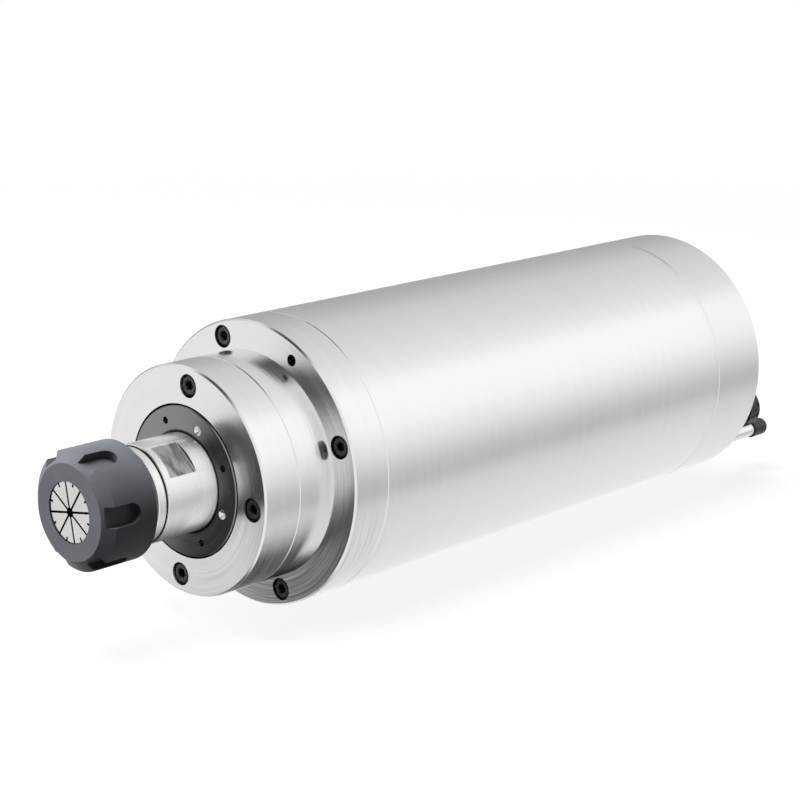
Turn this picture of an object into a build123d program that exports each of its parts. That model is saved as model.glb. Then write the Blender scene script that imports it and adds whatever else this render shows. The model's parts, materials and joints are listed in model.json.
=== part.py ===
from build123d import *
from math import cos, radians, sin, tan
import os

os.makedirs("parts", exist_ok=True)

# A water-cooled motor spindle with an ER32 collet nose, lying along X.
# The nose points along -X and the origin is on the axis, at the front face of the flange.
# Lengths are millimetres. A "clock" is an angle about X, measured from +Y towards +Z.

# ---------------------------------------------------------------- driving dimensions
# Body tube, flange and covers
body_d = 125.0
barrel_wall = 3.5
jacket_wall = 11.0
flange_len = 19.4
barrel_len = 238.6
rear_cover_len = 35.5
collar_d = body_d - 26.1
collar_len = 19.0
front_cover_len = 19.1
edge_chamfer = 0.8
seam_chamfer = 0.3
spigot_len = 16.6
spigot_d = body_d - 25.0
cover_spigot_len = 5.0
edge_break = 0.4
thread_lead_in = 1.0
screw_end_room = 1.0

# Nose of the shaft, clamping nut and collet
nose_d = 42.0
nose_exposed_len = 35.0
nut_d = 50.0
nut_len = 24.9
nut_face_d = 40.0
nut_mouth_d = 25.4
nut_cone_len = 3.7
nut_slot_count = 6
nut_slot_w = 8.5
nut_slot_depth = 3.8
nut_slot_len = 16.0
nut_slot_clock = 115.0
nose_thread_d = 40.0
nose_thread_len = 14.4
nose_relief_d = 37.6
nose_relief_len = 2.2
nose_land_d = 40.6
nose_land_len = 5.0
nose_groove_w = 0.6
nose_groove_depth = 0.5
flat_across = 38.8
flat_w = 13.6
flat_from_cover = 9.3
flat_clock = 129.5
collet_d = 33.0
collet_len = 40.0
collet_face_d = 25.0
collet_recess = 0.5
collet_bore_d = 4.0
collet_taper = 8.0
collet_front_cone = 30.0
collet_groove_w = 2.8
collet_groove_depth = 1.9
collet_rim_len = 0.6
collet_slit_w = 0.45
collet_slit_count = 8
collet_slit_web = 5.0
collet_slit_root = 3.2
collet_slit_clock = 35.0
collet_notch_depth = 1.6
collet_end_room = 1.5
extractor_len = 2.2
extractor_gap = 0.3
extractor_inset = 0.6
nut_back_bevel = 0.6
nose_bore_d = 21.0
nose_bore_len = 26.0
nose_bore_cone_len = 5.0

# Labyrinth ring at the nose
ring_d = 64.6
ring_proud = 0.4
ring_flange_len = 10.0
ring_hub_d = 48.0
ring_clearance = 0.7
ring_counterbore_len = 4.6
ring_seat_d = 37.0
ring_hole_clock = 67.0
ring_hole_count = 4
ring_small_hole_d = 3.0
ring_small_hole_r = 26.6
ring_large_hole_d = 4.2
ring_large_hole_r = 25.3
ring_hole_depth = 5.0
ring_large_hole_depth = 2.5
ring_shaft_gap = 0.35
set_screw_sink = 1.4
set_screw_key = 1.5
set_screw_key_depth = 1.4

# Angular contact bearings: bore, outside diameter, width, number of balls
front_bore, front_od, front_width, front_balls = 35.0, 62.0, 14.0, 15
rear_bore, rear_od, rear_width, rear_balls = 25.0, 47.0, 12.0, 14
front_ball_d = 0.3222 * (front_od - front_bore)
rear_ball_d = 0.2886 * (rear_od - rear_bore)
bearing_spacer_len = 4.0
shoulder_height = 4.0
lock_nut_len = 9.0
lock_nut_slot_count = 4
lock_nut_slot_w = 5.0
lock_nut_slot_depth = 2.0
front_lock_nut_d = 48.0
rear_lock_nut_d = 36.0
rear_bearing_inset = 4.0
spring_len = 3.0
spring_lip_len = 3.0

# Motor
rotor_seat_d = 34.0
rotor_d = 55.2
air_gap = 0.4
core_len = 130.0
core_from_spigot = 26.0
stator_d = body_d - 2 * (barrel_wall + jacket_wall)
slot_count = 24
slot_depth = 10.0
slot_inner_w = 3.6
slot_outer_w = 6.0
slot_mouth_w = 1.6
slot_lip = 1.6
slot_lining = 0.25
end_turn_len = 17.0
end_turn_d = stator_d - 7.0
end_turn_bore_d = 58.6
end_turn_gap = 3.0
bar_count = 22
bar_w = 2.6
bar_depth = 6.0
bar_cover = 0.8
end_ring_d = 54.0
end_ring_bore_d = 37.0
end_ring_len = 8.0
balance_ring_len = 8.0
balance_ring_d = 50.0
balance_hole_d = 3.6
balance_hole_step = 20.0
front_balance_clock = 30.0
rear_balance_clock = 200.0
winding_corner = 3.0
rear_shoulder_d = 29.0
rear_shaft_tail = 3.0

# Cooling jacket
channel_count = 10
channel_depth = 5.0
rib_angle = 8.0
jacket_land = 9.0
channel_turn_len = 12.0
seal_section = 1.8
seal_room = 0.1

# Rear bearing housing and rear cover
rear_housing_len = 18.0
rear_hub_d = 58.0
rear_register_len = 3.0
rear_plate_len = 12.0
rear_cavity_d = body_d - 31.0
lead_hole_d = 11.0
lead_hole_r = rear_cavity_d / 2 - 7.0

# Fasteners
screw_d = 5.0
screw_head_d = 8.5
screw_key = 4.0
screw_pocket_d = 10.0
screw_pocket_depth = 5.6
flange_screw_pcd = body_d - 13.8
flange_screw_clock = 72.3
flange_screw_len = 22.0
cover_screw_pcd = (collar_d + ring_d) / 2 + 1.25
cover_screw_clock = 5.4
cover_screw_len = 24.0
rear_screw_pcd = body_d - 16.0
rear_screw_clock = 0.0
rear_screw_len = 42.0
jack_hole_d = 5.0
jack_hole_pcd = body_d - 14.6
jack_hole_clock = 117.4
ground_screw_d = 4.0
ground_screw_head_d = 6.8
ground_screw_key = 3.0
ground_screw_r = 38.0
ground_screw_clock = 60.0
ground_screw_len = 8.0

# Water nozzles, their caps and the power gland on the rear face
nozzle_r = body_d / 2 - 6.3
nozzle_clock = -133.5
nozzle_d = 7.2
nozzle_bore_d = 4.4
nozzle_len = 38.0
nozzle_base_d = 11.0
nozzle_base_len = 4.0
nozzle_seal_len = 1.5
nozzle_thread_d = 6.0
nozzle_thread_len = 9.0
nozzle_base_bevel = 0.6
nozzle_tip_bevel = 0.8
hose_groove_w = 1.6
hose_groove_depth = 0.5
hose_groove_from_cap = 1.4
cap_d = 8.8
cap_len = 12.5
cap_grip = 9.0
cap_mouth_bevel = 0.3
cap_dome_len = 2.4
cap_dome_shoulder = 1.0
cap_dome_bevel = 0.8
gland_r = body_d / 2 - 12.5
gland_clock = -150.9
gland_thread_d = 16.0
gland_hex = 19.0
gland_hex_len = 6.0
gland_nut_d = 21.4
gland_nut_len = 12.0
gland_nut_gap = 0.4
gland_neck_d = 15.4
gland_neck_len = 7.0
gland_mouth_d = 9.0
gland_dome_wall = 1.6
gland_cone_len = 2.6
gland_insert_d = 11.0
gland_bore_d = 7.0
gland_pocket_gap = 1.0
gland_hex_bevel = 0.8
gland_dome_len = 4.0
gland_dome_shoulder = 1.2
gland_dome_step = 2.0
gland_dome_drop = 3.6
gland_rib_count = 12
gland_rib_w = 1.6
gland_rib_depth = 0.4
lead_d = 7.0
lead_bend_r = 8.0
lead_straight = 5.0

# Fits
seat_gap = 0.02
run_gap = 0.05
shank_gap = 0.25
labyrinth_gap = 0.5

# ---------------------------------------------------------------- stations along X
x_flange = 0.0
x_barrel = flange_len
x_rear_cover = x_barrel + barrel_len
x_rear = x_rear_cover + rear_cover_len
x_collar = -collar_len
x_cover = x_collar - front_cover_len
x_nut_back = x_cover - nose_exposed_len
x_nut_face = x_nut_back - nut_len
x_spigot_end = x_barrel + spigot_len

body_r = body_d / 2
bore_r = body_r - barrel_wall
collar_r = collar_d / 2
spigot_r = spigot_d / 2
nose_r = nose_d / 2

x_front_bearing = x_collar + cover_spigot_len
x_front_spacer = x_front_bearing + front_width
x_front_bearing_2 = x_front_spacer + bearing_spacer_len
x_front_shoulder = x_front_bearing_2 + front_width
x_core = x_spigot_end + core_from_spigot
x_core_end = x_core + core_len
x_rear_housing_end = x_rear_cover - rear_register_len
x_rear_housing = x_rear_housing_end - rear_housing_len
x_rear_bearing_2_end = x_rear_housing_end - rear_bearing_inset
x_rear_bearing = x_rear_bearing_2_end - 2 * rear_width
x_rear_spring = x_rear_bearing - spring_len
x_rear_hub = x_rear_spring - spring_lip_len

x_ring_face = x_cover - ring_proud
x_ring_shoulder = x_ring_face + ring_counterbore_len
x_ring_back = x_ring_face + ring_flange_len

collet_r = collet_d / 2
collet_face_r = collet_face_d / 2
x_collet_face = x_nut_face + collet_recess
x_collet_cone_end = x_collet_face + (collet_r - collet_face_r) / tan(radians(collet_front_cone))
x_collet_groove_end = x_collet_cone_end + collet_groove_w
x_collet_taper = x_collet_groove_end + collet_rim_len
x_collet_back = x_collet_face + collet_len
collet_back_r = collet_r - (x_collet_back - x_collet_taper) * tan(radians(collet_taper))
x_nose = x_collet_taper + labyrinth_gap

stator_bore_r = rotor_d / 2 + air_gap
jacket_bore_r = stator_d / 2 + seat_gap
jacket_r = bore_r - seat_gap


# ---------------------------------------------------------------- building blocks
def cross_plane(x):
    """The plane across the spindle at a station, with its own x along Y and its own y along Z."""
    return Plane(origin=(x, 0, 0), x_dir=(0, 1, 0), z_dir=(1, 0, 0))


def rod(x_start, x_end, radius):
    """A cylinder on the spindle axis between two stations."""
    return extrude(cross_plane(x_start) * Circle(radius), x_end - x_start)


def tube(x_start, x_end, outer_r, inner_r):
    """A plain ring on the spindle axis."""
    return extrude(cross_plane(x_start) * (Circle(outer_r) - Circle(inner_r)), x_end - x_start)


def turned(*points):
    """A turned piece, from the (station, radius) corners of its half section."""
    return revolve(Plane.XZ * make_face(Polyline(*points, close=True)), Axis.X)


def at_clock(clock, radius=0.0):
    """The place at a clock angle and distance from the spindle axis."""
    return Rot(X=clock) * Pos(0, radius, 0)


def around(count, first_clock, radius=0.0):
    """Evenly spaced places round the spindle axis."""
    return [at_clock(first_clock + 360 / count * i, radius) for i in range(count)]


def hex_bar(x_start, x_end, across_flats):
    """A hexagonal bar along X."""
    outline = RegularPolygon(across_flats / 2, 6, major_radius=False)
    return extrude(cross_plane(x_start) * outline, x_end - x_start)


def sector(inner_r, outer_r, span):
    """A flat ring sector of a given angle, centred on its own x axis."""
    half = span / 2
    start = Vector(cos(radians(half)), sin(radians(half)))
    end = Vector(cos(radians(half)), -sin(radians(half)))
    return make_face([
        CenterArc((0, 0), outer_r, -half, span),
        Line(start * outer_r, start * inner_r),
        CenterArc((0, 0), inner_r, -half, span),
        Line(end * inner_r, end * outer_r),
    ])


def socket_screw(diameter, head_d, key, length):
    """A socket head cap screw along X, with the front of its head at zero."""
    head_r = head_d / 2
    bevel = 0.08 * diameter
    body = turned(
        (0, 0), (0, head_r - bevel), (bevel, head_r), (diameter, head_r),
        (diameter, diameter / 2), (diameter + length, diameter / 2), (diameter + length, 0),
    )
    return body - hex_bar(0, 0.55 * diameter, key)


def pocket(x_front, depth, pocket_d, hole_d, length):
    """The counterbore and the hole that a cap screw goes into."""
    return rod(x_front, x_front + depth, pocket_d / 2) + rod(x_front, x_front + length, hole_d / 2)


def blind_hole(x_front, depth, diameter):
    """A drilled hole with the cone that the drill leaves."""
    radius = diameter / 2
    return turned((x_front, 0), (x_front, radius), (x_front + depth, radius),
                  (x_front + depth + 0.6 * radius, 0))


def save(name, solids):
    """Write one node, which may be a group of separate solids."""
    pieces = solids if isinstance(solids, list) else [solids]
    export_step(Compound(children=[s for piece in pieces for s in piece.solids()]),
                f"parts/{name}.step")


# ---------------------------------------------------------------- body and flange
def seam_edge(x, toward, radius=body_r):
    """The small turned bevel that leaves a hairline where two round pieces meet."""
    step = seam_chamfer * toward
    return turned((x, radius - seam_chamfer), (x, radius + 1), (x + step, radius + 1), (x + step, radius))


flange_screw_r = flange_screw_pcd / 2
cover_screw_r = cover_screw_pcd / 2
rear_screw_r = rear_screw_pcd / 2
tapped_d = screw_d + 2 * seat_gap
clear_d = screw_d + 2 * shank_gap
x_flange_head = x_flange + screw_pocket_depth - screw_d
x_cover_head = x_cover + screw_pocket_depth - screw_d
x_rear_head = x_rear - screw_pocket_depth + screw_d


def make_barrel():
    """Body tube with a thick front collar that takes the flange screws."""
    collar_end = x_barrel + spigot_len
    piece = turned(
        (x_barrel, spigot_r + seat_gap), (x_barrel, body_r), (x_rear_cover, body_r),
        (x_rear_cover, bore_r), (collar_end, bore_r), (collar_end, spigot_r + seat_gap),
    )
    screw_reach = x_flange_head + screw_d + flange_screw_len + screw_end_room
    for place in around(4, flange_screw_clock, flange_screw_r):
        piece -= place * rod(x_barrel, screw_reach, tapped_d / 2)
    return piece - seam_edge(x_barrel, 1) - seam_edge(x_rear_cover, -1)


def make_front_flange():
    """Flange, collar and front bearing housing in one turned piece."""
    seat_r = front_od / 2 + seat_gap
    piece = turned(
        (x_collar, seat_r), (x_collar, collar_r), (x_flange, collar_r),
        (x_flange, body_r - edge_chamfer), (x_flange + edge_chamfer, body_r), (x_barrel, body_r),
        (x_barrel, spigot_r), (x_spigot_end, spigot_r), (x_spigot_end, seat_r - shoulder_height),
        (x_front_shoulder, seat_r - shoulder_height), (x_front_shoulder, seat_r),
    )
    for place in around(4, flange_screw_clock, flange_screw_r):
        piece -= place * pocket(x_flange, screw_pocket_depth, screw_pocket_d, clear_d, flange_len)
    for place in around(2, jack_hole_clock, jack_hole_pcd / 2):
        piece -= place * rod(x_flange, x_barrel, jack_hole_d / 2)
    cover_reach = x_cover_head + screw_d + cover_screw_len + screw_end_room
    for place in around(4, cover_screw_clock, cover_screw_r):
        piece -= place * rod(x_collar, cover_reach, tapped_d / 2)
    return piece - seam_edge(x_barrel, -1) - seam_edge(x_collar, 1, collar_r)


def make_front_cover():
    """Cover that holds the bearings and carries the outer half of the labyrinth."""
    ring_room_r = ring_d / 2 + ring_clearance
    lip_r = ring_hub_d / 2 + labyrinth_gap
    ring_room_end = x_ring_back + labyrinth_gap
    register_r = front_od / 2
    piece = turned(
        (x_cover, ring_room_r), (x_cover, collar_r - edge_chamfer), (x_cover + edge_chamfer, collar_r),
        (x_collar, collar_r), (x_collar, register_r), (x_front_bearing, register_r),
        (x_front_bearing, lip_r), (ring_room_end, lip_r), (ring_room_end, ring_room_r),
    )
    for place in around(4, cover_screw_clock, cover_screw_r):
        piece -= place * pocket(x_cover, screw_pocket_depth, screw_pocket_d, clear_d, front_cover_len)
    return piece - seam_edge(x_collar, -1, collar_r)


def make_screws(x_head, clock, radius, length, facing=1):
    """Four cap screws with their heads at one station, entering along +X or -X."""
    screw = socket_screw(screw_d, screw_head_d, screw_key, length)
    turn = Rot(Z=0) if facing > 0 else Rot(Z=180)
    return [place * (Pos(x_head, 0, 0) * turn) * screw for place in around(4, clock, radius)]


# ---------------------------------------------------------------- bearings
# Shape of a raceway and a cage, in ball diameters
race_land = 0.3
race_floor = 0.25
race_end = 0.45
ball_flat = 0.86
cage_wall = 0.2
cage_inset = 0.4
cage_ball_gap = 0.3


def outer_race(x, bore, od, width, ball_d):
    """Outer ring of an angular contact bearing, relieved on one side of its raceway."""
    floor_r = (bore + od) / 4 + ball_d / 2 + run_gap
    land_r = (bore + od) / 4 + race_land * ball_d
    middle = x + width / 2
    return turned(
        (x, land_r), (x, od / 2), (x + width, od / 2), (x + width, floor_r),
        (middle - race_floor * ball_d, floor_r), (middle - race_end * ball_d, land_r),
    )


def inner_race(x, bore, od, width, ball_d):
    """Inner ring of an angular contact bearing, relieved on the other side of its raceway."""
    floor_r = (bore + od) / 4 - ball_d / 2 - run_gap
    land_r = (bore + od) / 4 - race_land * ball_d
    middle = x + width / 2
    seat_r = bore / 2 + seat_gap
    return turned(
        (x, seat_r), (x, floor_r), (middle + race_floor * ball_d, floor_r),
        (middle + race_end * ball_d, land_r), (x + width, land_r), (x + width, seat_r),
    )


def bearing_ball(diameter):
    """A ball with eighteen small flats, the common part of a cube and its turned copies."""
    side = ball_flat * diameter
    cube = Box(side, side, side)
    return cube & (Rot(X=45) * cube) & (Rot(Y=45) * cube) & (Rot(Z=45) * cube)


def ball_set(x, bore, od, width, ball_d, count):
    """The balls of one bearing."""
    ball = Pos(x + width / 2, 0, 0) * bearing_ball(ball_d)
    return [place * ball for place in around(count, 0, (bore + od) / 4)]


def ball_cage(x, bore, od, width, ball_d, count):
    """The cage that keeps the balls apart: a ring beside them with a finger between each pair."""
    pitch_r = (bore + od) / 4
    wall = cage_wall * ball_d
    start = x + cage_inset
    middle = x + width / 2
    side = middle - ball_d / 2 - cage_ball_gap
    ring = tube(start, side, pitch_r + wall, pitch_r - wall)
    web = 2 * pitch_r * sin(radians(180 / count)) - ball_d
    finger = Pos((start + middle) / 2, 0, 0) * Box(middle - start, 1.4 * wall, 0.6 * web)
    for place in around(count, 180 / count, pitch_r):
        ring += place * finger
    return ring


front_size = (front_bore, front_od, front_width, front_ball_d)
rear_size = (rear_bore, rear_od, rear_width, rear_ball_d)
front_stations = [x_front_bearing, x_front_bearing_2]
rear_stations = [x_rear_bearing, x_rear_bearing + rear_width]


def make_wave_spring():
    """Preload spring that pushes the rear outer rings away from the housing lip."""
    outer_r = rear_od / 2 - 2 * seat_gap
    inner_r = outer_r - shoulder_height + 1
    return tube(x_rear_spring, x_rear_bearing, outer_r, inner_r)


# ---------------------------------------------------------------- stator and jacket
def slot_outline(lining=0.0):
    """One stator slot, opening towards the rotor along its own -x."""
    root = stator_bore_r + slot_lip + lining
    tip = stator_bore_r + slot_lip + slot_depth - lining
    near = slot_inner_w / 2 - lining
    far = slot_outer_w / 2 - lining
    return make_face(Polyline((root, -near), (root, near), (tip, far), (tip, -far), close=True))


def make_stator_core():
    """Laminated stator stack with open slots along its bore."""
    mouth = Pos(stator_bore_r + slot_lip / 2, 0) * Rectangle(slot_lip + 1, slot_mouth_w)
    outline = Circle(stator_d / 2) - Circle(stator_bore_r)
    cut = slot_outline() + mouth
    for i in range(slot_count):
        outline -= Rot(Z=360 / slot_count * i) * cut
    return extrude(cross_plane(x_core) * outline, core_len)


def make_windings():
    """Copper coil sides in the slots, joined by the end turns at both ends of the core."""
    root = end_turn_bore_d / 2
    crown = end_turn_d / 2
    soft = winding_corner
    piece = None
    for face, away in ((x_core, -1), (x_core_end, 1)):
        near = face + away * end_turn_gap
        far = near + away * end_turn_len
        turns = turned(
            (near, root), (near, crown - soft), (near + away * soft, crown), (far - away * soft, crown),
            (far, crown - soft), (far, root + soft), (far - away * soft, root),
        )
        piece = turns if piece is None else piece + turns
    overhang = end_turn_gap + end_turn_len / 4
    coil = extrude(cross_plane(x_core - overhang) * slot_outline(slot_lining), core_len + 2 * overhang)
    for place in around(slot_count, 0):
        piece += place * coil
    return piece


def make_water_jacket():
    """Sleeve round the stator, with channels that send the water back and forth along it."""
    x_start = x_spigot_end
    x_end = x_rear_housing
    floor_r = jacket_r - channel_depth
    pitch = 360 / channel_count
    piece = tube(x_start, x_end, jacket_r, jacket_bore_r)
    channel = extrude(
        cross_plane(x_start + jacket_land) * sector(floor_r, jacket_r + 1, pitch - rib_angle),
        x_end - x_start - 2 * jacket_land,
    )
    gap = sector(floor_r, jacket_r + 1, rib_angle + 2)
    front_gap = extrude(cross_plane(x_start + jacket_land) * gap, channel_turn_len)
    rear_gap = extrude(cross_plane(x_end - jacket_land - channel_turn_len) * gap, channel_turn_len)
    for i in range(channel_count):
        piece -= at_clock(nozzle_clock + pitch * i) * channel
        opens_at_front = (i % 2 == 0) == (i < channel_count / 2)
        turn = front_gap if opens_at_front else rear_gap
        piece -= at_clock(nozzle_clock + pitch * (i + 0.5)) * turn
    for place in around(2, nozzle_clock, nozzle_r):
        piece -= place * rod(x_end - jacket_land - 1, x_end, nozzle_bore_d / 2)
    for x in seal_stations():
        piece -= tube(x, x + seal_section + 2 * seal_room, jacket_r + 1, jacket_r - seal_section)
    return piece


def seal_stations():
    """Where the two jacket seals sit, one in each end land."""
    inset = (jacket_land - seal_section) / 2
    return [x_spigot_end + inset, x_rear_housing - jacket_land + inset]


def make_jacket_seals():
    """Rubber rings between the jacket and the body tube."""
    starts = [x + seal_room for x in seal_stations()]
    return [tube(x, x + seal_section, jacket_r, jacket_r - seal_section + seat_gap) for x in starts]


# ---------------------------------------------------------------- rear end
def make_rear_bearing_housing():
    """Disc that carries the rear bearings, with passages for the water and the leads."""
    seat_r = rear_od / 2 + seat_gap
    lip_r = seat_r - shoulder_height
    hub_r = rear_hub_d / 2
    piece = turned(
        (x_rear_hub, lip_r), (x_rear_hub, hub_r), (x_rear_housing, hub_r), (x_rear_housing, jacket_r),
        (x_rear_housing_end, jacket_r), (x_rear_housing_end, seat_r), (x_rear_spring, seat_r),
        (x_rear_spring, lip_r),
    )
    reach = x_rear_head - screw_d - rear_screw_len - screw_end_room
    for place in around(4, rear_screw_clock, rear_screw_r):
        piece -= place * rod(reach, x_rear_housing_end, tapped_d / 2)
    for place in around(2, nozzle_clock, nozzle_r):
        piece -= place * rod(x_rear_housing, x_rear_housing_end, nozzle_bore_d / 2)
    lead_hole = rod(x_rear_housing, x_rear_housing_end, lead_hole_d / 2)
    return piece - at_clock(gland_clock, lead_hole_r) * lead_hole


def make_rear_cover():
    """Deep cup that closes the rear end over the terminal chamber."""
    cavity_r = rear_cavity_d / 2
    x_plate = x_rear - rear_plate_len
    piece = turned(
        (x_rear_housing_end, cavity_r), (x_rear_housing_end, jacket_r), (x_rear_cover, jacket_r),
        (x_rear_cover, body_r), (x_rear - edge_chamfer, body_r), (x_rear, body_r - edge_chamfer),
        (x_rear, 0), (x_plate, 0), (x_plate, cavity_r),
    )
    nut_room = gland_thread_d / 2 + gland_pocket_gap
    piece -= at_clock(gland_clock, gland_r) * rod(x_rear_cover, x_plate, nut_room)
    piece -= at_clock(gland_clock, gland_r) * rod(x_plate, x_rear, gland_thread_d / 2 + seat_gap)
    for place in around(4, rear_screw_clock, rear_screw_r):
        piece -= place * rod(x_rear - screw_pocket_depth, x_rear, screw_pocket_d / 2)
        piece -= place * rod(x_rear_housing_end, x_rear, clear_d / 2)
    for place in around(2, nozzle_clock, nozzle_r):
        piece -= place * rod(x_rear_housing_end, x_rear, nozzle_bore_d / 2)
        piece -= place * rod(x_rear - nozzle_thread_len, x_rear, nozzle_thread_d / 2 + seat_gap)
    ground_hole = rod(x_rear - ground_screw_len, x_rear, ground_screw_d / 2 + seat_gap)
    piece -= at_clock(ground_screw_clock, ground_screw_r) * ground_hole
    return piece - seam_edge(x_rear_cover, 1)


def make_ground_screw():
    """Earthing screw on the rear face."""
    screw = socket_screw(ground_screw_d, ground_screw_head_d, ground_screw_key, ground_screw_len)
    place = at_clock(ground_screw_clock, ground_screw_r) * Pos(x_rear + ground_screw_d, 0, 0)
    return place * Rot(Z=180) * screw


def nozzle_place(i):
    """Place of one of the two water nozzles, with zero at the rear face."""
    return at_clock(nozzle_clock + 180 * i, nozzle_r) * Pos(x_rear, 0, 0)


def make_nozzle():
    """Stainless water nozzle with a round foot, a hose tail and a thread into the cover."""
    foot = nozzle_seal_len
    tail_r = nozzle_d / 2
    bore = nozzle_bore_d / 2
    base_r = nozzle_base_d / 2
    foot_end = foot + nozzle_base_len
    groove_end = nozzle_len - cap_grip - hose_groove_from_cap
    return turned(
        (-nozzle_thread_len, bore), (-nozzle_thread_len, nozzle_thread_d / 2), (foot, nozzle_thread_d / 2),
        (foot, base_r), (foot_end - nozzle_base_bevel, base_r), (foot_end, base_r - nozzle_base_bevel),
        (foot_end, tail_r), (groove_end - hose_groove_w, tail_r),
        (groove_end - hose_groove_w / 2, tail_r - hose_groove_depth), (groove_end, tail_r),
        (nozzle_len - nozzle_tip_bevel, tail_r), (nozzle_len, tail_r - nozzle_tip_bevel),
        (nozzle_len, bore),
    )


def make_nozzle_seal():
    """Rubber washer under the foot of a nozzle."""
    return tube(0, nozzle_seal_len, nozzle_base_d / 2, nozzle_thread_d / 2 + seat_gap)


def make_nozzle_cap():
    """Rubber dust cap pushed over the end of a nozzle."""
    x_mouth = nozzle_len - cap_grip
    x_tip = x_mouth + cap_len
    inside = nozzle_d / 2 + run_gap
    outside = cap_d / 2
    floor = nozzle_len + run_gap
    return turned(
        (x_mouth, inside), (x_mouth, outside - cap_mouth_bevel), (x_mouth + cap_mouth_bevel, outside),
        (x_tip - cap_dome_len, outside), (x_tip - cap_dome_shoulder, outside - cap_dome_bevel),
        (x_tip, outside - cap_dome_len), (x_tip, 0), (floor, 0), (floor, inside),
    )


def gland_place():
    """Place of the power gland, with zero at the rear face."""
    return at_clock(gland_clock, gland_r) * Pos(x_rear, 0, 0)


def make_gland_body():
    """Gland body: thread through the rear plate, hexagon, and the neck that the nut runs on."""
    thread = rod(-rear_plate_len, 0, gland_thread_d / 2)
    hexagon = hex_bar(0, gland_hex_len, gland_hex) & turned(
        (0, 0), (0, gland_nut_d / 2), (gland_hex_len - gland_hex_bevel, gland_nut_d / 2),
        (gland_hex_len, gland_hex / 2 - 0.2), (gland_hex_len, 0),
    )
    neck_end = gland_hex_len + gland_neck_len
    neck = rod(gland_hex_len, neck_end, gland_neck_d / 2)
    return thread + hexagon + neck - rod(-rear_plate_len, neck_end, gland_insert_d / 2)


gland_nut_start = gland_hex_len + gland_nut_gap
gland_nut_end = gland_nut_start + gland_nut_len


def make_gland_nut():
    """Dome nut of the gland, with a ribbed grip and a cone inside that squeezes the insert."""
    neck_r = gland_neck_d / 2 + run_gap
    start, end = gland_nut_start, gland_nut_end
    grip_r = gland_nut_d / 2
    piece = turned(
        (start, neck_r), (start, grip_r), (end - gland_dome_len, grip_r),
        (end - gland_dome_shoulder, grip_r - gland_dome_step), (end, grip_r - gland_dome_drop),
        (end, gland_mouth_d / 2), (end - gland_dome_wall, gland_mouth_d / 2),
        (end - gland_dome_wall - gland_cone_len, neck_r),
    )
    rib_len = gland_nut_len - gland_dome_len - 1
    rib_gap = Pos(start, 0, 0) * Box(2 * rib_len, 2 * gland_rib_depth, gland_rib_w)
    for place in around(gland_rib_count, 180 / gland_rib_count, grip_r):
        piece -= place * rib_gap
    return piece


def make_gland_insert():
    """Rubber sleeve that grips the cable inside the gland."""
    outer_r = gland_insert_d / 2 - seat_gap
    rise = (outer_r + labyrinth_gap - gland_mouth_d / 2) / (gland_neck_d - gland_mouth_d) * 2
    end = gland_nut_end - gland_dome_wall - gland_cone_len * rise
    return tube(gland_hex_len, end, outer_r, gland_bore_d / 2)


def make_leads():
    """Sleeved motor leads from the end turns, through the housing, to the back of the gland."""
    x_from = x_core_end + end_turn_gap + end_turn_len
    x_bend = x_rear_cover + lead_straight
    x_to = x_rear - rear_plate_len
    x_bend_end = x_to - lead_straight
    path = FilletPolyline(
        (x_from, lead_hole_r), (x_bend, lead_hole_r), (x_bend_end, gland_r), (x_to, gland_r),
        radius=lead_bend_r,
    )
    section = cross_plane(x_from) * Pos(lead_hole_r, 0) * Circle(lead_d / 2)
    return at_clock(gland_clock) * sweep(section, path=path)


# ---------------------------------------------------------------- rotor
def taper_r(x):
    """Radius of the collet taper in the shaft at a station."""
    return collet_r + run_gap - (x - x_collet_taper) * tan(radians(collet_taper))


def make_shaft():
    """Shaft from the collet nose to the rear lock nut thread."""
    thread_r = nose_thread_d / 2
    x_thread_end = x_nose + nose_thread_len
    x_relief_end = x_thread_end + nose_relief_len
    x_land_end = x_relief_end + nose_land_len
    x_lip = x_land_end + nose_groove_w
    land_r = nose_land_d / 2
    front_r = front_bore / 2
    rear_r = rear_bore / 2
    x_front_thread_end = x_front_shoulder + lock_nut_len + 1
    x_rear_seat = x_rear_bearing
    x_end = x_rear_bearing_2_end + lock_nut_len + rear_shaft_tail
    x_taper_end = x_collet_back + collet_end_room
    x_bore_end = x_taper_end + nose_bore_len
    piece = turned(
        (x_nose, taper_r(x_nose)), (x_nose, thread_r - thread_lead_in),
        (x_nose + thread_lead_in, thread_r), (x_thread_end, thread_r),
        (x_thread_end, nose_relief_d / 2), (x_relief_end, nose_relief_d / 2), (x_relief_end, land_r),
        (x_land_end, land_r), (x_land_end, land_r - nose_groove_depth), (x_lip, land_r - nose_groove_depth),
        (x_lip, nose_r - edge_break), (x_lip + edge_break, nose_r), (x_ring_shoulder, nose_r),
        (x_ring_shoulder, ring_seat_d / 2), (x_front_bearing, ring_seat_d / 2), (x_front_bearing, front_r),
        (x_front_thread_end, front_r), (x_front_thread_end, rotor_seat_d / 2),
        (x_rear_hub - 2, rotor_seat_d / 2), (x_rear_hub - 2, rear_shoulder_d / 2),
        (x_rear_seat, rear_shoulder_d / 2), (x_rear_seat, rear_r), (x_end - thread_lead_in, rear_r),
        (x_end, rear_r - thread_lead_in), (x_end, 0), (x_bore_end + nose_bore_cone_len, 0),
        (x_bore_end, nose_bore_d / 2), (x_taper_end, nose_bore_d / 2),
        (x_taper_end, taper_r(x_taper_end)),
    )
    flat_depth = nose_r - flat_across / 2
    x_flat = x_cover - flat_from_cover - flat_w / 2
    flat = Pos(x_flat, flat_depth / 2 + 1 - flat_depth, 0) * Box(flat_w, flat_depth + 2, nose_d)
    for place in around(2, flat_clock, nose_r):
        piece -= place * flat
    return piece


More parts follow.
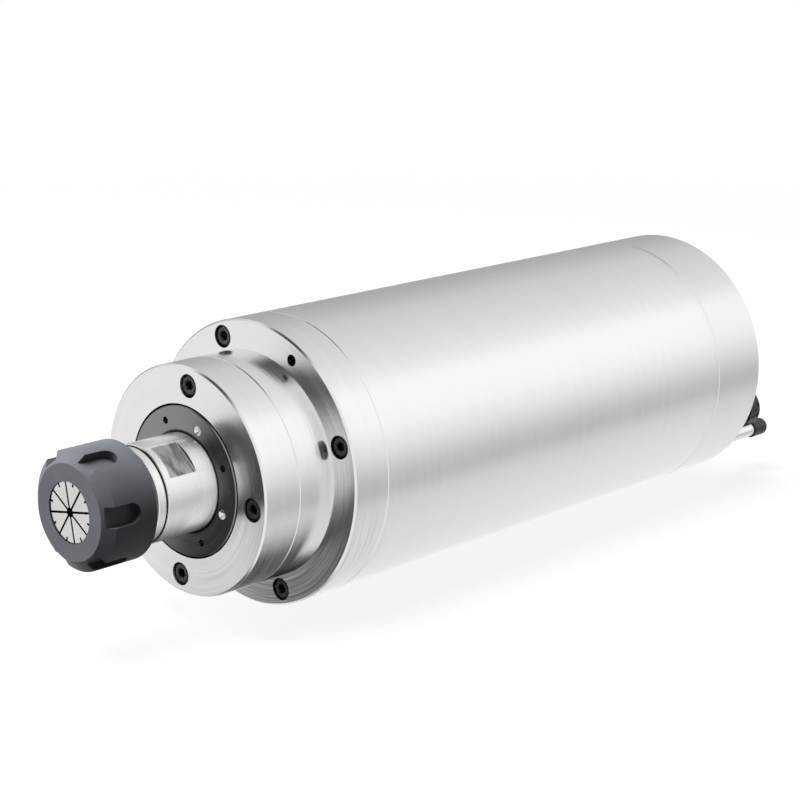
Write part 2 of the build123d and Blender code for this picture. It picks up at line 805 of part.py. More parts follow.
def make_labyrinth_ring():
    """Dark ring that turns with the shaft in the front cover and keeps coolant and dust out."""
    seat_r = ring_seat_d / 2 + seat_gap
    bore_clear = nose_r + ring_shaft_gap
    piece = turned(
        (x_ring_face, bore_clear), (x_ring_face, ring_d / 2 - edge_break),
        (x_ring_face + edge_break, ring_d / 2),
        (x_ring_back, ring_d / 2), (x_ring_back, ring_hub_d / 2), (x_front_bearing, ring_hub_d / 2),
        (x_front_bearing, seat_r), (x_ring_shoulder, seat_r), (x_ring_shoulder, bore_clear),
    )
    for place in around(ring_hole_count, ring_hole_clock, ring_small_hole_r):
        piece -= place * blind_hole(x_ring_face, ring_hole_depth, ring_small_hole_d)
    for place in around(ring_hole_count, ring_hole_clock + 180 / ring_hole_count, ring_large_hole_r):
        piece -= place * blind_hole(x_ring_face, ring_large_hole_depth, ring_large_hole_d)
    return piece


def make_balance_screws():
    """Set screws sunk in the small holes of the labyrinth ring."""
    radius = ring_small_hole_d / 2 - seat_gap
    x_top = x_ring_face + set_screw_sink
    screw = rod(x_top, x_ring_face + ring_hole_depth, radius)
    screw -= hex_bar(x_top, x_top + set_screw_key_depth, set_screw_key)
    return [place * screw for place in around(ring_hole_count, ring_hole_clock, ring_small_hole_r)]


def make_lock_nut(x, outer_d, bore_d):
    """Round bearing lock nut with spanner slots."""
    piece = tube(x, x + lock_nut_len, outer_d / 2, bore_d / 2 + seat_gap)
    slot = Pos(x + lock_nut_len / 2, 0, 0) * Box(lock_nut_len + 1, 2 * lock_nut_slot_depth, lock_nut_slot_w)
    for place in around(lock_nut_slot_count, 0, outer_d / 2):
        piece -= place * slot
    return piece


def bar_outline(gap=0.0):
    """One rotor bar in cross section, standing on its own x axis."""
    middle = end_ring_d / 2 - bar_cover - bar_depth / 2
    return Pos(middle, 0) * Rectangle(bar_depth + 2 * gap, bar_w + 2 * gap)


def make_rotor_core():
    """Laminated rotor stack with a slot for each cage bar."""
    outline = Circle(rotor_d / 2) - Circle(rotor_seat_d / 2 + seat_gap)
    for i in range(bar_count):
        outline -= Rot(Z=360 / bar_count * i) * bar_outline(seat_gap)
    return extrude(cross_plane(x_core) * outline, core_len)


def make_rotor_cage():
    """Cage bars through the rotor, joined by a ring at each end."""
    piece = tube(x_core - end_ring_len, x_core, end_ring_d / 2, end_ring_bore_d / 2)
    piece += tube(x_core_end, x_core_end + end_ring_len, end_ring_d / 2, end_ring_bore_d / 2)
    bar = extrude(cross_plane(x_core) * bar_outline(), core_len)
    for place in around(bar_count, 0):
        piece += place * bar
    return piece


def make_balance_rings():
    """Rings that trap the rotor stack and are drilled to balance it."""
    bore = rotor_seat_d / 2 + seat_gap
    rings = []
    x_front = x_core - end_ring_len - balance_ring_len
    x_back = x_core_end + end_ring_len
    for x, clock in ((x_front, front_balance_clock), (x_back, rear_balance_clock)):
        ring = tube(x, x + balance_ring_len, balance_ring_d / 2, bore)
        hole_r = (balance_ring_d / 2 + bore) / 2
        for step in (0, balance_hole_step):
            ring -= at_clock(clock + step, hole_r) * rod(x, x + balance_ring_len, balance_hole_d / 2)
        rings.append(ring)
    return rings


# ---------------------------------------------------------------- collet and nut
def make_collet():
    """Spring collet with slits from both ends in turn, of which the front ones reach the bore."""
    groove_r = collet_r - collet_groove_depth
    piece = turned(
        (x_collet_face, collet_bore_d / 2), (x_collet_face, collet_face_r), (x_collet_cone_end, collet_r),
        (x_collet_cone_end, groove_r), (x_collet_groove_end, groove_r), (x_collet_groove_end, collet_r),
        (x_collet_taper, collet_r), (x_collet_back, collet_back_r), (x_collet_back, collet_bore_d / 2),
    )
    reach = collet_d
    slit_len = collet_len - collet_slit_web
    front_slit = Pos(x_collet_face + slit_len / 2, reach / 2, 0) * Box(slit_len, reach, collet_slit_w)
    rear_slit = Pos(x_collet_back - slit_len / 2, collet_slit_root + reach / 2, 0) * Box(
        slit_len, reach, collet_slit_w)
    rim_notch = Pos(x_collet_face, reach / 2 + collet_face_r - collet_notch_depth, 0) * Box(
        2 * collet_slit_web + 2, reach, collet_slit_w)
    spread = 180 / collet_slit_count
    for place in around(collet_slit_count, collet_slit_clock):
        piece -= place * front_slit
    for place in around(collet_slit_count, collet_slit_clock + spread):
        piece -= place * (rear_slit + rim_notch)
    return piece


def make_extractor_ring():
    """Ring in the nut that sits in the groove of the collet and pulls it out of the taper."""
    middle = (x_collet_cone_end + x_collet_groove_end) / 2
    inner_r = collet_r - collet_groove_depth + extractor_gap
    outer_r = nose_thread_d / 2 - extractor_inset
    return tube(middle - extractor_len / 2, middle + extractor_len / 2, outer_r, inner_r)


def make_clamping_nut():
    """Slotted ER nut, threaded on the nose and holding the collet by its front cone."""
    outer_r = nut_d / 2
    mouth_r = nut_mouth_d / 2
    thread_r = nose_thread_d / 2 + run_gap
    middle = (x_collet_cone_end + x_collet_groove_end) / 2
    x_seat_end = middle - extractor_len / 2
    x_ring_end = middle + extractor_len / 2
    slope = tan(radians(collet_front_cone))
    seat_r = mouth_r + (x_seat_end - x_nut_face) * slope
    ring_r = nose_thread_d / 2 - extractor_inset
    piece = turned(
        (x_nut_face, mouth_r), (x_nut_face, nut_face_d / 2), (x_nut_face + nut_cone_len, outer_r),
        (x_nut_back - nut_back_bevel, outer_r), (x_nut_back, outer_r - nut_back_bevel),
        (x_nut_back, thread_r),
        (x_ring_end, thread_r), (x_ring_end, ring_r + seat_gap), (x_seat_end, ring_r + seat_gap),
        (x_seat_end, seat_r),
    )
    floor_r = outer_r - nut_slot_depth
    half = nut_slot_len - nut_slot_w / 2
    slot = Pos(x_nut_face, 0) * (
        Pos(half / 2 - 1, 0) * Rectangle(half + 2, nut_slot_w) + Pos(half, 0) * Circle(nut_slot_w / 2)
    )
    cutter = Plane(origin=(0, floor_r, 0), x_dir=(1, 0, 0), z_dir=(0, 1, 0)) * slot
    for place in around(nut_slot_count, nut_slot_clock):
        piece -= place * extrude(cutter, nut_slot_depth + 1)
    return piece


# ---------------------------------------------------------------- write the nodes
save("barrel", make_barrel())
save("front_flange", make_front_flange())
save("front_cover", make_front_cover())
save("flange_screws", make_screws(x_flange_head, flange_screw_clock, flange_screw_r, flange_screw_len))
save("front_cover_screws", make_screws(x_cover_head, cover_screw_clock, cover_screw_r, cover_screw_len))
save("rear_cover_screws", make_screws(x_rear_head, rear_screw_clock, rear_screw_r, rear_screw_len, -1))
save("rear_cover", make_rear_cover())
save("rear_bearing_housing", make_rear_bearing_housing())
save("water_jacket", make_water_jacket())
save("jacket_seals", make_jacket_seals())
save("stator_core", make_stator_core())
save("stator_windings", make_windings())
save("motor_leads", make_leads())
save("front_bearing_outer_rings", [outer_race(x, *front_size) for x in front_stations])
save("rear_bearing_outer_rings", [outer_race(x, *rear_size) for x in rear_stations])
save("outer_bearing_spacer", tube(x_front_spacer, x_front_bearing_2, front_od / 2,
                                  front_od / 2 - shoulder_height))
save("preload_spring", make_wave_spring())
save("ground_screw", make_ground_screw())
save("power_gland_body", gland_place() * make_gland_body())
save("power_gland_nut", gland_place() * make_gland_nut())
save("power_gland_insert", gland_place() * make_gland_insert())
for index, side in enumerate(("inlet", "outlet")):
    save(f"water_{side}_nozzle", nozzle_place(index) * make_nozzle())
    save(f"water_{side}_seal", nozzle_place(index) * make_nozzle_seal())
    save(f"water_{side}_cap", nozzle_place(index) * make_nozzle_cap())

save("shaft", make_shaft())
save("labyrinth_ring", make_labyrinth_ring())
save("balance_screws", make_balance_screws())
save("front_bearing_inner_rings", [inner_race(x, *front_size) for x in front_stations])
save("rear_bearing_inner_rings", [inner_race(x, *rear_size) for x in rear_stations])
save("inner_bearing_spacer", tube(x_front_spacer, x_front_bearing_2, front_bore / 2 + shoulder_height,
                                  front_bore / 2 + seat_gap))
save("front_lock_nut", make_lock_nut(x_front_shoulder, front_lock_nut_d, front_bore))
save("rear_lock_nut", make_lock_nut(x_rear_bearing_2_end, rear_lock_nut_d, rear_bore))
save("rotor_core", make_rotor_core())
save("rotor_cage", make_rotor_cage())
save("rotor_balance_rings", make_balance_rings())

save("front_bearing_balls", [b for x in front_stations for b in ball_set(x, *front_size, front_balls)])
save("front_bearing_cages", [ball_cage(x, *front_size, front_balls) for x in front_stations])
save("rear_bearing_balls", [b for x in rear_stations for b in ball_set(x, *rear_size, rear_balls)])
save("rear_bearing_cages", [ball_cage(x, *rear_size, rear_balls) for x in rear_stations])

save("collet", make_collet())
save("clamping_nut", make_clamping_nut())
save("extractor_ring", make_extractor_ring())
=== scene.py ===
"""Looks, stage and camera for a water-cooled motor spindle, laid out as a Blender add-on."""
import json
from math import atan2, cos, pi, radians, sin

import bmesh
import bpy
from mathutils import Matrix, Vector


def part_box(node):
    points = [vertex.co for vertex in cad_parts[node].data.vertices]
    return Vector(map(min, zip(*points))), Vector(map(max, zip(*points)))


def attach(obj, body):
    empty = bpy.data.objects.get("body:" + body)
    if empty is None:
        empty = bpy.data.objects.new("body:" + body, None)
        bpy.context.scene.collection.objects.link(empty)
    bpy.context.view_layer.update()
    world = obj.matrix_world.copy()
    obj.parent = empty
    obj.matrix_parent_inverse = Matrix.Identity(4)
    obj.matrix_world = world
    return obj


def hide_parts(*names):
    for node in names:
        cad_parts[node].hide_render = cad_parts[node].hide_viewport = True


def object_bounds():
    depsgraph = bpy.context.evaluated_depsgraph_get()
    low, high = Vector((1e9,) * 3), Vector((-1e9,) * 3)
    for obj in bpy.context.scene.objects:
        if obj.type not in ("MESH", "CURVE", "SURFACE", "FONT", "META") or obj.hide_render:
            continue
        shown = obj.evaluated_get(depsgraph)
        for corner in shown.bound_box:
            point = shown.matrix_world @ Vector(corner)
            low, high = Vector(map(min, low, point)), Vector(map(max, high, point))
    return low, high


bl_info = {
    "name": "Motor spindle",
    "version": (1, 0, 0),
    "blender": (4, 5, 0),
    "location": "3D View > Sidebar > Spindle",
    "description": "Finishes and fine pieces of a water-cooled motor spindle",
    "category": "Object",
}

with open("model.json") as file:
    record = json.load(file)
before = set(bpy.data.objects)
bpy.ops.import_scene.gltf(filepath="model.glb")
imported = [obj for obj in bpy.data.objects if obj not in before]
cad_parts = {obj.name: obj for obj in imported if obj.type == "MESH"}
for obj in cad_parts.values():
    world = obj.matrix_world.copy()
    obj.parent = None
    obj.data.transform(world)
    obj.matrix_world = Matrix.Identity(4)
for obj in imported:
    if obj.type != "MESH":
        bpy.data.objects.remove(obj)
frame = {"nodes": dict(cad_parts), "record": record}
cad_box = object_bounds()

MM = 0.001
AXIS = Vector((1, 0, 0))

# Stations along the spindle, in metres, where the front flange's face is zero
ring_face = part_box("labyrinth_ring")[0].x
shaft_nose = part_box("shaft")[0].x
rear_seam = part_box("rear_cover")[0].x
thread_start = shaft_nose + 1.2 * MM
thread_end = shaft_nose + 14 * MM

# Radii about the axis, in metres
nose_radius = 21 * MM
thread_radius = 20 * MM
large_holes_radius = 25.3 * MM

# Distances before the ring's face, in millimetres, between which the shaft's finish changes: at the
# wrench flats, at the groove before them with its painted shade, in the shade of the nut, and along the neck
WRENCH_FLATS = (24, 23.5, 9.4, 8.9)
NECK_GROOVE = (26.75, 26.5, 26, 25.8)
NUT_SHADE = (30.8, 29.6)
NECK = (14, 3)

# Clock angles, in degrees from +Y towards +Z, and the slits of the collet as it comes
LARGE_HOLES_CLOCK = 112.0
COLLET_CLOCK = 35.0
COLLET_SLITS = 8
COLLET_SLIT = 0.45 * MM

# Rings of four screws: node, radius in millimetres, clock of the first one, the way that the heads
# face (1 for the nose, -1 for the rear) and the length of the shank in millimetres
SCREW_RINGS = (
    ("flange_screws", 55.6, 72.3, 1, 22),
    ("front_cover_screws", 41.52, 5.4, 1, 24),
    ("rear_cover_screws", 54.5, 0.0, -1, 42),
)

# Level of the light that round sides reflect, by angle about the axis in degrees
SIDE_LIGHT = (
    (-180, 0.80), (-166, 0.60), (-152, 0.50), (-138, 0.70), (-112, 0.80), (-52, 0.90), (-40, 1.08),
    (-24, 1.0), (-12, 0.45), (8, 0.42), (32, 0.50), (56, 0.66), (92, 0.78), (112, 0.88), (128, 1.06),
    (158, 1.02), (180, 0.80),
)


# ---------------------------------------------------------------- settings
class SPINDLE_PG_finish(bpy.types.PropertyGroup):
    """Colours of the metals and plastics."""

    steel: bpy.props.FloatVectorProperty(
        name="Steel", description="Reflection colour of the bright steel",
        default=(0.905, 0.9, 0.89), min=0, max=1, subtype="COLOR")
    oxide: bpy.props.FloatVectorProperty(
        name="Black oxide", description="Colour of the blackened steel",
        default=(0.112, 0.118, 0.132), min=0, max=1, subtype="COLOR")
    ring: bpy.props.FloatVectorProperty(
        name="Nose ring", description="Reflection colour of the dark ring in the front cover",
        default=(0.27, 0.27, 0.275), min=0, max=1, subtype="COLOR")
    rubber: bpy.props.FloatVectorProperty(
        name="Rubber", description="Colour of the caps and seals",
        default=(0.02, 0.02, 0.021), min=0, max=1, subtype="COLOR")


class SPINDLE_PG_sizes(bpy.types.PropertyGroup):
    """Sizes of the fine pieces."""

    edge_break: bpy.props.FloatProperty(
        name="Edge break", description="Width of the rounding on turned edges", default=0.12 * MM,
        min=0.01 * MM, precision=5, unit="LENGTH")
    nut_round: bpy.props.FloatProperty(
        name="Nut rounding", description="Width of the rounding on the clamping nut", default=0.4 * MM,
        min=0.01 * MM, precision=5, unit="LENGTH")
    slit_width: bpy.props.FloatProperty(
        name="Collet slits", description="Width of the slits in the collet", default=0.95 * MM,
        min=0.1 * MM, precision=5, unit="LENGTH")
    thread_pitch: bpy.props.FloatProperty(
        name="Thread pitch", description="Pitch of the nose thread", default=1.5 * MM, min=0.5 * MM,
        precision=5, unit="LENGTH")
    thread_depth: bpy.props.FloatProperty(
        name="Thread depth", description="Depth of the nose thread", default=0.85 * MM, min=0.1 * MM,
        precision=5, unit="LENGTH")
    screw_head: bpy.props.FloatProperty(
        name="Screw heads", description="Width of the socket screw heads", default=8.5 * MM, min=MM,
        precision=5, unit="LENGTH")
    screw_key: bpy.props.FloatProperty(
        name="Screw sockets", description="Width across the flats of the screw sockets", default=4.0 * MM,
        min=0.5 * MM, precision=5, unit="LENGTH")


class SPINDLE_PG_stage(bpy.types.PropertyGroup):
    """Camera, floor and light."""

    lens: bpy.props.FloatProperty(
        name="Lens", description="Focal length of the camera, in millimetres on a 36 mm frame",
        default=92.4, min=20, max=300, unit="CAMERA")
    camera_place: bpy.props.FloatVectorProperty(
        name="Camera", description="Place of the camera", default=(-0.573196, -0.624968, 0.240686),
        subtype="TRANSLATION", unit="LENGTH")
    camera_aim: bpy.props.FloatVectorProperty(
        name="Aim", description="Direction that the camera looks in", default=(0.7071, 0.6636, -0.2441),
        subtype="DIRECTION")
    floor_size: bpy.props.FloatProperty(
        name="Floor", description="Length of one side of the floor", default=14.0, min=1, unit="LENGTH")
    middle: bpy.props.FloatVectorProperty(
        name="Middle", description="Place that the floor is centred on and the lamps point at",
        default=(0.1, 0, 0), subtype="TRANSLATION", unit="LENGTH")
    lamp_width: bpy.props.FloatProperty(
        name="Lamps", description="Width of the two round lamps", default=1.2, min=0.01, unit="LENGTH")
    key_place: bpy.props.FloatVectorProperty(
        name="Key lamp", description="Place of the lamp above", default=(-0.1, 0.2, 1.36),
        subtype="TRANSLATION", unit="LENGTH")
    key_strength: bpy.props.FloatProperty(
        name="Key power", description="Power of the lamp above, in watts", default=41.0, min=0,
        unit="POWER")
    front_place: bpy.props.FloatVectorProperty(
        name="Front lamp", description="Place of the lamp beyond the nose", default=(-0.85, 0.85, 0.45),
        subtype="TRANSLATION", unit="LENGTH")
    front_strength: bpy.props.FloatProperty(
        name="Front power", description="Power of the lamp beyond the nose, in watts", default=27.0,
        min=0, unit="POWER")
    fill: bpy.props.FloatProperty(
        name="Fill", description="Level of the even light from all round", default=0.06, min=0)


# ---------------------------------------------------------------- shader building
class Wire:
    """A node socket that Python's arithmetic can be used on, from either side."""

    def __init__(self, shader, socket):
        self.shader = shader
        self.socket = socket

    def _maths(self, operation, *values):
        return self.shader.node("ShaderNodeMath", {"operation": operation}, *values)

    def __add__(self, other):
        return self._maths("ADD", self, other)

    def __radd__(self, other):
        return self._maths("ADD", other, self)

    def __sub__(self, other):
        return self._maths("SUBTRACT", self, other)

    def __rsub__(self, other):
        return self._maths("SUBTRACT", other, self)

    def __mul__(self, other):
        return self._maths("MULTIPLY", self, other)

    def __rmul__(self, other):
        return self._maths("MULTIPLY", other, self)

    def __truediv__(self, other):
        return self._maths("DIVIDE", self, other)

    def __pow__(self, other):
        return self._maths("POWER", self, other)


class Shader:
    """A node tree, with one method that makes every node in it."""

    def __init__(self, tree):
        self.tree = tree
        tree.nodes.clear()

    def node(self, kind, settings=None, *values, output=0, **sockets):
        """Make a node. Values fill its sockets in order, and named ones go where their name says."""
        node = self.tree.nodes.new(kind)
        for name, value in (settings or {}).items():
            if name == "stops":
                ramp = node.color_ramp
                while len(ramp.elements) < len(value):
                    ramp.elements.new(0.5)
                for element, (position, level) in zip(ramp.elements, value):
                    element.position = position
                    element.color = (level, level, level, 1)
            else:
                setattr(node, name, value)
        fills = list(zip(node.inputs, values))
        fills += [(node.inputs[name.replace("_", " ")], value) for name, value in sockets.items()]
        for socket, value in fills:
            if isinstance(value, Wire):
                self.tree.links.new(value.socket, socket)
            elif value is not None:
                socket.default_value = value
        return Wire(self, node.outputs[output]) if len(node.outputs) else None

    def place(self):
        """Object coordinates."""
        return self.node("ShaderNodeTexCoord", output="Object")

    def ray(self, kind):
        """One for rays of this kind, and zero for the others."""
        return self.node("ShaderNodeLightPath", output=f"Is {kind} Ray")

    def split(self, vector):
        """The three parts of a vector."""
        node = self.node("ShaderNodeSeparateXYZ", None, vector).socket.node
        return [Wire(self, socket) for socket in node.outputs]

    def joined(self, x, y, z):
        """A vector from three parts."""
        return self.node("ShaderNodeCombineXYZ", None, x, y, z)

    def noise(self, vector, scale, detail=2.0, roughness=0.5):
        """Soft random pattern from 0 to 1."""
        return self.node("ShaderNodeTexNoise", None, Vector=vector, Scale=scale, Detail=detail,
                         Roughness=roughness)

    def ramp(self, value, stops):
        """A level that follows a value through the stops."""
        return self.node("ShaderNodeValToRGB", {"stops": stops}, value)

    def span(self, value, low, high, new_low=0.0, new_high=1.0):
        """A value moved smoothly from one range to another, and held inside it."""
        return self.node("ShaderNodeMapRange", {"interpolation_type": "SMOOTHSTEP"},
                         value, low, high, new_low, new_high)

    def window(self, value, rise, top, end, fall):
        """One where a value lies between top and end, and zero before rise and after fall."""
        return self.span(value, rise, top) * self.span(value, end, fall, 1.0, 0.0)

    def mix(self, factor, first, second):
        """A colour between two colours."""
        node = self.node("ShaderNodeMix", {"data_type": "RGBA"}, factor).socket.node
        colours = [s for s in node.inputs if s.type == "RGBA"]
        for socket, value in zip(colours, (first, second)):
            if isinstance(value, Wire):
                self.tree.links.new(value.socket, socket)
            else:
                socket.default_value = (*value, 1) if len(value) == 3 else value
        return Wire(self, [s for s in node.outputs if s.type == "RGBA"][0])

    def vector(self, operation, *values, output=0, **sockets):
        """Vector maths."""
        return self.node("ShaderNodeVectorMath", {"operation": operation}, *values, output=output, **sockets)

    def bump(self, height, strength, distance):
        """A normal bent by a height."""
        return self.node("ShaderNodeBump", None, Strength=strength, Distance=distance, Height=height)

    def surface(self, **sockets):
        """The surface shader and the material's output."""
        self.node("ShaderNodeOutputMaterial", None, self.node("ShaderNodeBsdfPrincipled", None, **sockets))


def new_material(name):
    """An empty material and its shader tree."""
    material = bpy.data.materials.new(name + "_finish")
    material.use_nodes = True
    return material, Shader(material.node_tree)


# ---------------------------------------------------------------- finishes
class Turned:
    """What the finishes of a turned piece share: its place, its radius and its fanned normals."""

    def __init__(self, shader):
        self.shader = shader
        self.place = shader.place()
        self.x, self.y, self.z = shader.split(self.place)
        self.radius = (self.y * self.y + self.z * self.z) ** 0.5
        self.run = self.x + self.radius

    def world(self, vector):
        """A direction of the piece as it stands in the scene."""
        return self.shader.node(
            "ShaderNodeVectorTransform",
            {"vector_type": "VECTOR", "convert_from": "OBJECT", "convert_to": "WORLD"}, vector)

    def facing(self, x, y, z):
        """How far the surface faces a direction of the piece, from 0 to 1 and either way round."""
        normal = self.shader.node("ShaderNodeNewGeometry", output="Normal")
        way = self.shader.vector("NORMALIZE", self.world(self.shader.joined(x, y, z)))
        level = self.shader.vector("DOT_PRODUCT", normal, way, output="Value")
        return self.shader.node("ShaderNodeMath", {"operation": "ABSOLUTE"}, level)

    def bands(self, scale):
        """Rings of tone that run round the piece."""
        return self.shader.noise(self.shader.joined(self.run * scale, self.y * 4, self.z * 4), 1.0, 3.0)

    def normal(self, side, face, lean, tip, pitch):
        """Normals of a turned surface, fanned out by its fine grooves.

        Side fans them along the axis on round sides, and face along the radius on end faces.
        Lean tips end faces outwards, and tip turns round sides towards the nose.
        """
        shader = self.shader
        grain = shader.joined(self.run / pitch, self.y * 30, self.z * 30)
        slope = shader.noise(grain, 1.0, 0.0) - 0.5
        out = shader.vector("NORMALIZE", self.world(shader.joined(0, self.y, self.z)))
        axis = self.world(shader.joined(1, 0, 0))
        radial = shader.vector("SCALE", out, Scale=slope * face + lean)
        axial = shader.vector("SCALE", axis, Scale=slope * side - tip)
        normal = shader.node("ShaderNodeNewGeometry", output="Normal")
        return shader.vector("NORMALIZE", shader.vector(
            "ADD", shader.vector("ADD", normal, radial), axial))


def darker(colour, share):
    """A colour with part of it taken away."""
    return tuple(level * (1 - share) for level in colour)


def before_ring(distances):
    """Stations from their distances before the ring's face, in millimetres."""
    return [ring_face - distance * MM for distance in distances]


def turned_metal(name, colour, roughness, side=0.3, face=0.3, lean=0.0, tip=0.0, pitch=0.12 * MM,
                 stain=0.04, flange_lean=None, rear_tone=None, painted_bore_shade=None):
    """Metal with circular tool marks, faint bands along the piece and a little handling haze.

    Side, face, lean and tip fan the normals out, and pitch is the spacing of the tool marks. Stain is
    how much darker the bands get. From the front flange's face on, a flange_lean takes the place of
    lean, and tip is gone. A rear_tone takes the place of the colour from the rear cover on, and close
    round the shaft the colour given for the bore takes its place, as painted shade in the gap there.
    """
    material, shader = new_material(name)
    piece = Turned(shader)
    if flange_lean is not None:
        flange = shader.span(piece.x, -1.5 * MM, -0.5 * MM)
        lean = flange * (flange_lean - lean) + lean
        tip = (1 - flange) * tip
    bands = piece.bands(260)
    haze = shader.noise(piece.place, 22.0, 3.0)
    tone = shader.mix(shader.span(bands * 0.5 + haze * 0.5, 0.35, 0.65), darker(colour, stain), colour)
    if rear_tone is not None:
        rear = shader.span(piece.x, rear_seam - 0.1 * MM, rear_seam + 0.1 * MM)
        tone = shader.mix(rear, tone, rear_tone)
    # Painted shade: close round the shaft the colour goes dark, for the shadow in the gap between the ring
    # and the shaft
    if painted_bore_shade is not None:
        clear = shader.span(piece.radius, nose_radius + 0.8 * MM, nose_radius + 1.5 * MM)
        tone = shader.mix(clear, painted_bore_shade, tone)
    shader.surface(
        Metallic=1.0,
        Base_Color=tone,
        Roughness=shader.span(haze * 0.6 + bands * 0.4, 0.3, 0.7, roughness * 0.88, roughness * 1.12),
        Normal=piece.normal(side, face, lean, tip, pitch),
    )
    return material


def ground_shaft(name, colour):
    """Shaft steel, with mottled ground wrench flats, and painted shade in the groove before them."""
    material, shader = new_material(name)
    piece = Turned(shader)
    bands = piece.bands(300)
    low = shader.span(piece.radius, nose_radius - 0.1 * MM, nose_radius - 0.03 * MM, 1.0, 0.0)
    flat = low * shader.window(piece.x, *before_ring(WRENCH_FLATS))
    wave = shader.noise(shader.joined(piece.x * 900, piece.y * 60, piece.z * 60), 1.0, 2.0)
    mottle = shader.noise(shader.joined(piece.x * 260, piece.y * 90, piece.z * 90), 1.0, 3.0)
    ground = shader.mix(shader.span(mottle, 0.35, 0.65), (0.2, 0.195, 0.185), (0.5, 0.49, 0.47))
    bright = shader.mix(shader.span(bands, 0.35, 0.65), darker(colour, 0.02), colour)
    tip = shader.span(piece.x, *before_ring(NECK), 0.2, 0.32)
    curl = shader.span(piece.x, *before_ring(NUT_SHADE), 0.9, 0.0)
    # Painted shade: the groove before the wrench flats is made near black, for the shade inside it
    painted_groove_shade = shader.window(piece.x, *before_ring(NECK_GROOVE))
    shader.surface(
        Metallic=1.0,
        Base_Color=shader.mix(flat + painted_groove_shade * 0.85, bright, shader.mix(painted_groove_shade, ground, (0.1, 0.1, 0.1))),
        Roughness=shader.span(wave, 0.3, 0.7, 0.27, 0.3),
        Normal=piece.normal(side=0.03, face=0.2, lean=0.0, tip=tip + curl, pitch=0.12 * MM),
    )
    return material


def slit_steel(name, colour):
    """Collet steel: pale ground faces, and painted shade on the walls inside its slits and its bore."""
    material, shader = new_material(name)
    piece = Turned(shader)
    # Painted shade: the walls inside the slits and the bore are made near black, for the shade within them
    inside = shader.span(piece.facing(0, 0 - piece.z, piece.y), 0.35, 0.6)
    bore = shader.span(piece.radius, 2.3 * MM, 2.5 * MM, 1.0, 0.0)
    bore = bore * shader.span(piece.facing(0, piece.y, piece.z), 0.4, 0.6)
    haze = shader.noise(piece.place, 120.0, 2.0)
    pale = shader.mix(shader.span(haze, 0.35, 0.7), darker(colour, 0.05), colour)
    painted_slit_shade = shader.span(inside + bore, 0.1, 0.8)
    shader.surface(
        Metallic=1.0,
        Base_Color=shader.mix(painted_slit_shade, pale, (0.012, 0.012, 0.012)),
        Roughness=shader.span(haze, 0.3, 0.7, 0.24, 0.34),
        Normal=piece.normal(side=0.15, face=0.12, lean=0.0, tip=0.0, pitch=0.2 * MM),
    )
    return material


def blackened(name, colour, roughness, speck=0.2):
    """Blackened steel: satin, a little uneven in tone, with a fine blasted grain."""
    material, shader = new_material(name)
    place = shader.place()
    cloud = shader.noise(place, 90.0, 3.0)
    grain = shader.noise(place, 3200.0, 2.0)
    tone = shader.mix(shader.span(cloud, 0.3, 0.7), darker(colour, 0.14), colour)
    pale = tuple(2 * level for level in colour)
    shader.surface(
        Base_Color=shader.mix(shader.span(grain, 0.62, 0.8) * speck, tone, pale),
        Roughness=shader.span(cloud * 0.6 + grain * 0.4, 0.3, 0.7, roughness * 0.85, roughness * 1.15),
        Specular_IOR_Level=0.25,
        Normal=shader.bump(grain, 0.12, 0.03 * MM),
    )
    return material


def moulded(name, colour, roughness, grain, depth=0.04 * MM, mottle=0.15):
    """Moulded rubber or plastic with a fine skin grain and slight changes of tone."""
    material, shader = new_material(name)
    place = shader.place()
    skin = shader.noise(place, grain, 3.0)
    cloud = shader.noise(place, 60.0, 2.0)
    shader.surface(
        Base_Color=shader.mix(shader.span(cloud, 0.3, 0.7), darker(colour, mottle), colour),
        Roughness=shader.span(skin * 0.5 + cloud * 0.5, 0.3, 0.7, roughness * 0.88, roughness * 1.1),
        Normal=shader.bump(skin, 0.4, depth),
    )
    return material


def laminated(name, colour):
    """A stack of thin electrical steel sheets, seen as fine rings along the stack."""
    material, shader = new_material(name)
    piece = Turned(shader)
    half_sheet = 0.25 * MM
    sheet = shader.node("ShaderNodeMath", {"operation": "PINGPONG"}, piece.x, half_sheet) / half_sheet
    seam = shader.span(sheet, 0.0, 0.35, 1.0, 0.0)
    tint = shader.noise(shader.joined(piece.x * 1900, piece.y * 6, piece.z * 6), 1.0, 1.0)
    shade = shader.mix(shader.span(tint, 0.35, 0.65), darker(colour, 0.3), colour)
    shader.surface(
        Metallic=1.0,
        Base_Color=shader.mix(seam * 0.7, shade, darker(colour, 0.8)),
        Roughness=shader.span(tint, 0.3, 0.7, 0.36, 0.5),
        Normal=shader.bump(seam, 0.5, -0.05 * MM),
    )
    return material


def wound_copper(name, colour):
    """Enamelled copper wire: round strands that run along the slots and round the end turns."""
    material, shader = new_material(name)
    piece = Turned(shader)
    angle = shader.node("ShaderNodeMath", {"operation": "ARCTAN2"}, piece.z, piece.y)
    wander = shader.noise(piece.place, 45.0, 1.0)
    lay = piece.radius * 6800 + angle * 9 + wander * 2.5
    strand = shader.node("ShaderNodeMath", {"operation": "SINE"}, lay) * 0.5 + 0.5
    gloss = shader.noise(piece.place, 240.0, 2.0)
    base = shader.mix(shader.span(gloss, 0.3, 0.7), darker(colour, 0.25), colour)
    shader.surface(
        Metallic=0.85,
        Base_Color=shader.mix(shader.span(strand, 0.0, 0.4, 0.75, 0.0), base, darker(colour, 0.75)),
        Roughness=shader.span(gloss, 0.3, 0.7, 0.25, 0.36),
        Coat_Weight=shader.span(gloss, 0.3, 0.7, 0.3, 0.6),
        Normal=shader.bump(strand, 0.7, 0.25 * MM),
    )
    return material


